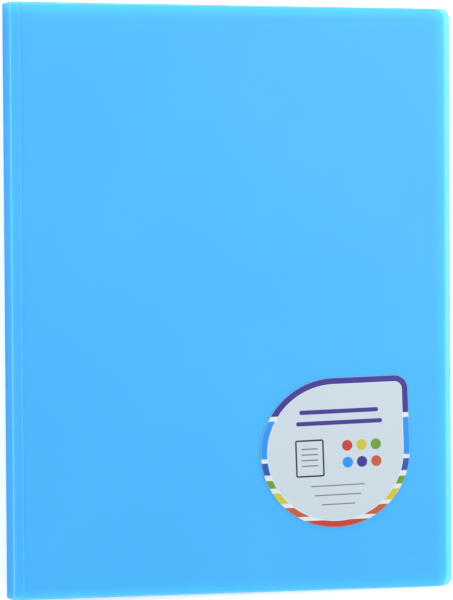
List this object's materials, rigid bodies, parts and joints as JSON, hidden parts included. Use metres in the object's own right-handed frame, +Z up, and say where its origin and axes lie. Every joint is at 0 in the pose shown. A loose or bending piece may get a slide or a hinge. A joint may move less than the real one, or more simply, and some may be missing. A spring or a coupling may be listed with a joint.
{
  "type": "display book",
  "caption": "A4 display book in translucent blue polypropylene: creased soft cover, flat spine with a welded binding strip, clear top-opening pockets and a round label.",
  "frame": {"origin": "under the middle of the closed book, on the surface that its back cover lies on", "axes": "+X from the spine to the fore-edge, +Y to the top of the book where the pockets open, +Z up through the front cover"},
  "size_m": [0.2414, 0.31, 0.0139],
  "materials": {
    "cover_sheet": "translucent blue polypropylene sheet, fine matt grain, satin",
    "binding_strip": "translucent blue polypropylene, welded",
    "pocket_film": "clear polypropylene film, lightly textured",
    "label": "coated paper, satin, coloured rim"
  },
  "bodies": {
    "back_cover": {"back_cover": "cover_sheet", "back_hinge_band": "cover_sheet"},
    "spine": {"spine_panel": "cover_sheet", "binding_strip": "binding_strip"},
    "front_hinge_band": {"front_hinge_band": "cover_sheet"},
    "front_cover": {"front_cover": "cover_sheet", "label_sticker": "label"},
    "pocket_01": {"pocket_01_front_film": "pocket_film", "pocket_01_rear_film": "pocket_film"},
    "pocket_02": {"pocket_02_front_film": "pocket_film", "pocket_02_rear_film": "pocket_film"},
    "pocket_03": {"pocket_03_front_film": "pocket_film", "pocket_03_rear_film": "pocket_film"},
    "pocket_04": {"pocket_04_front_film": "pocket_film", "pocket_04_rear_film": "pocket_film"},
    "pocket_05": {"pocket_05_front_film": "pocket_film", "pocket_05_rear_film": "pocket_film"},
    "pocket_06": {"pocket_06_front_film": "pocket_film", "pocket_06_rear_film": "pocket_film"},
    "pocket_07": {"pocket_07_front_film": "pocket_film", "pocket_07_rear_film": "pocket_film"},
    "pocket_08": {"pocket_08_front_film": "pocket_film", "pocket_08_rear_film": "pocket_film"},
    "pocket_09": {"pocket_09_front_film": "pocket_film", "pocket_09_rear_film": "pocket_film"},
    "pocket_10": {"pocket_10_front_film": "pocket_film", "pocket_10_rear_film": "pocket_film"},
    "pocket_11": {"pocket_11_front_film": "pocket_film", "pocket_11_rear_film": "pocket_film"},
    "pocket_12": {"pocket_12_front_film": "pocket_film", "pocket_12_rear_film": "pocket_film"},
    "pocket_13": {"pocket_13_front_film": "pocket_film", "pocket_13_rear_film": "pocket_film"},
    "pocket_14": {"pocket_14_front_film": "pocket_film", "pocket_14_rear_film": "pocket_film"},
    "pocket_15": {"pocket_15_front_film": "pocket_film", "pocket_15_rear_film": "pocket_film"},
    "pocket_16": {"pocket_16_front_film": "pocket_film", "pocket_16_rear_film": "pocket_film"},
    "pocket_17": {"pocket_17_front_film": "pocket_film", "pocket_17_rear_film": "pocket_film"},
    "pocket_18": {"pocket_18_front_film": "pocket_film", "pocket_18_rear_film": "pocket_film"},
    "pocket_19": {"pocket_19_front_film": "pocket_film", "pocket_19_rear_film": "pocket_film"},
    "pocket_20": {"pocket_20_front_film": "pocket_film", "pocket_20_rear_film": "pocket_film"}
  },
  "joints": [
    {"name": "book_opening", "type": "hinge", "parent": "back_cover", "child": "spine", "pos_m": [-0.12068, 0, 0], "axis": [0, -1, 0], "range_deg": [0, 96]},
    {"name": "front_cover_opening", "type": "hinge", "parent": "front_hinge_band", "child": "front_cover", "pos_m": [-0.11388, 0, 0.01374], "axis": [0, -1, 0], "range_deg": [0, 59]},
    {"name": "front_fold", "type": "hinge", "parent": "spine", "child": "front_hinge_band", "pos_m": [-0.11918, 0, 0.01392], "axis": [0, -1, 0], "range_deg": [0, 28]},
    {"name": "pocket_01_turning", "type": "hinge", "parent": "spine", "child": "pocket_01", "pos_m": [-0.11708, 0, 0.01239], "axis": [0, -1, 0], "range_deg": [-1.62, 0]},
    {"name": "pocket_02_turning", "type": "hinge", "parent": "spine", "child": "pocket_02", "pos_m": [-0.11714, 0, 0.01179], "axis": [0, -1, 0], "range_deg": [-5.96, 0]},
    {"name": "pocket_03_turning", "type": "hinge", "parent": "spine", "child": "pocket_03", "pos_m": [-0.11721, 0, 0.01119], "axis": [0, -1, 0], "range_deg": [-10.29, 0]},
    {"name": "pocket_04_turning", "type": "hinge", "parent": "spine", "child": "pocket_04", "pos_m": [-0.11727, 0, 0.0106], "axis": [0, -1, 0], "range_deg": [-14.63, 0]},
    {"name": "pocket_05_turning", "type": "hinge", "parent": "spine", "child": "pocket_05", "pos_m": [-0.11734, 0, 0.01], "axis": [0, -1, 0], "range_deg": [-18.97, 0]},
    {"name": "pocket_06_turning", "type": "hinge", "parent": "spine", "child": "pocket_06", "pos_m": [-0.1174, 0, 0.0094], "axis": [0, -1, 0], "range_deg": [-23.3, 0]},
    {"name": "pocket_07_turning", "type": "hinge", "parent": "spine", "child": "pocket_07", "pos_m": [-0.11747, 0, 0.00881], "axis": [0, -1, 0], "range_deg": [-27.64, 0]},
    {"name": "pocket_08_turning", "type": "hinge", "parent": "spine", "child": "pocket_08", "pos_m": [-0.11753, 0, 0.00821], "axis": [0, -1, 0], "range_deg": [-31.98, 0]},
    {"name": "pocket_09_turning", "type": "hinge", "parent": "spine", "child": "pocket_09", "pos_m": [-0.11759, 0, 0.00761], "axis": [0, -1, 0], "range_deg": [-36.31, 0]},
    {"name": "pocket_10_turning", "type": "hinge", "parent": "spine", "child": "pocket_10", "pos_m": [-0.11766, 0, 0.00702], "axis": [0, -1, 0], "range_deg": [-40.65, 0]},
    {"name": "pocket_11_turning", "type": "hinge", "parent": "spine", "child": "pocket_11", "pos_m": [-0.11772, 0, 0.00642], "axis": [0, -1, 0], "range_deg": [-44.98, 0]},
    {"name": "pocket_12_turning", "type": "hinge", "parent": "spine", "child": "pocket_12", "pos_m": [-0.11779, 0, 0.00582], "axis": [0, -1, 0], "range_deg": [-49.32, 0]},
    {"name": "pocket_13_turning", "type": "hinge", "parent": "spine", "child": "pocket_13", "pos_m": [-0.11785, 0, 0.00523], "axis": [0, -1, 0], "range_deg": [-53.65, 0]},
    {"name": "pocket_14_turning", "type": "hinge", "parent": "spine", "child": "pocket_14", "pos_m": [-0.11792, 0, 0.00463], "axis": [0, -1, 0], "range_deg": [-57.99, 0]},
    {"name": "pocket_15_turning", "type": "hinge", "parent": "spine", "child": "pocket_15", "pos_m": [-0.11798, 0, 0.00403], "axis": [0, -1, 0], "range_deg": [-62.32, 0]},
    {"name": "pocket_16_turning", "type": "hinge", "parent": "spine", "child": "pocket_16", "pos_m": [-0.11804, 0, 0.00344], "axis": [0, -1, 0], "range_deg": [-66.66, 0]},
    {"name": "pocket_17_turning", "type": "hinge", "parent": "spine", "child": "pocket_17", "pos_m": [-0.11811, 0, 0.00284], "axis": [0, -1, 0], "range_deg": [-71, 0]},
    {"name": "pocket_18_turning", "type": "hinge", "parent": "spine", "child": "pocket_18", "pos_m": [-0.11817, 0, 0.00224], "axis": [0, -1, 0], "range_deg": [-75.33, 0]},
    {"name": "pocket_19_turning", "type": "hinge", "parent": "spine", "child": "pocket_19", "pos_m": [-0.11824, 0, 0.00165], "axis": [0, -1, 0], "range_deg": [-79.67, 0]},
    {"name": "pocket_20_turning", "type": "hinge", "parent": "spine", "child": "pocket_20", "pos_m": [-0.1183, 0, 0.00105], "axis": [0, -1, 0], "range_deg": [-84, 0]}
  ],
  "couplings": [
    {"joint": "pocket_01_turning", "follows": "book_opening", "ratio": -0.01679},
    {"joint": "pocket_02_turning", "follows": "book_opening", "ratio": -0.06196},
    {"joint": "pocket_03_turning", "follows": "book_opening", "ratio": -0.10713},
    {"joint": "pocket_04_turning", "follows": "book_opening", "ratio": -0.1523},
    {"joint": "pocket_05_turning", "follows": "book_opening", "ratio": -0.19747},
    {"joint": "pocket_06_turning", "follows": "book_opening", "ratio": -0.24264},
    {"joint": "pocket_07_turning", "follows": "book_opening", "ratio": -0.2878},
    {"joint": "pocket_08_turning", "follows": "book_opening", "ratio": -0.33297},
    {"joint": "pocket_09_turning", "follows": "book_opening", "ratio": -0.37813},
    {"joint": "pocket_10_turning", "follows": "book_opening", "ratio": -0.4233},
    {"joint": "pocket_11_turning", "follows": "book_opening", "ratio": -0.46846},
    {"joint": "pocket_12_turning", "follows": "book_opening", "ratio": -0.51362},
    {"joint": "pocket_13_turning", "follows": "book_opening", "ratio": -0.55879},
    {"joint": "pocket_14_turning", "follows": "book_opening", "ratio": -0.60395},
    {"joint": "pocket_15_turning", "follows": "book_opening", "ratio": -0.64911},
    {"joint": "pocket_16_turning", "follows": "book_opening", "ratio": -0.69427},
    {"joint": "pocket_17_turning", "follows": "book_opening", "ratio": -0.73943},
    {"joint": "pocket_18_turning", "follows": "book_opening", "ratio": -0.78459},
    {"joint": "pocket_19_turning", "follows": "book_opening", "ratio": -0.82975},
    {"joint": "pocket_20_turning", "follows": "book_opening", "ratio": -0.87491}
  ]
}
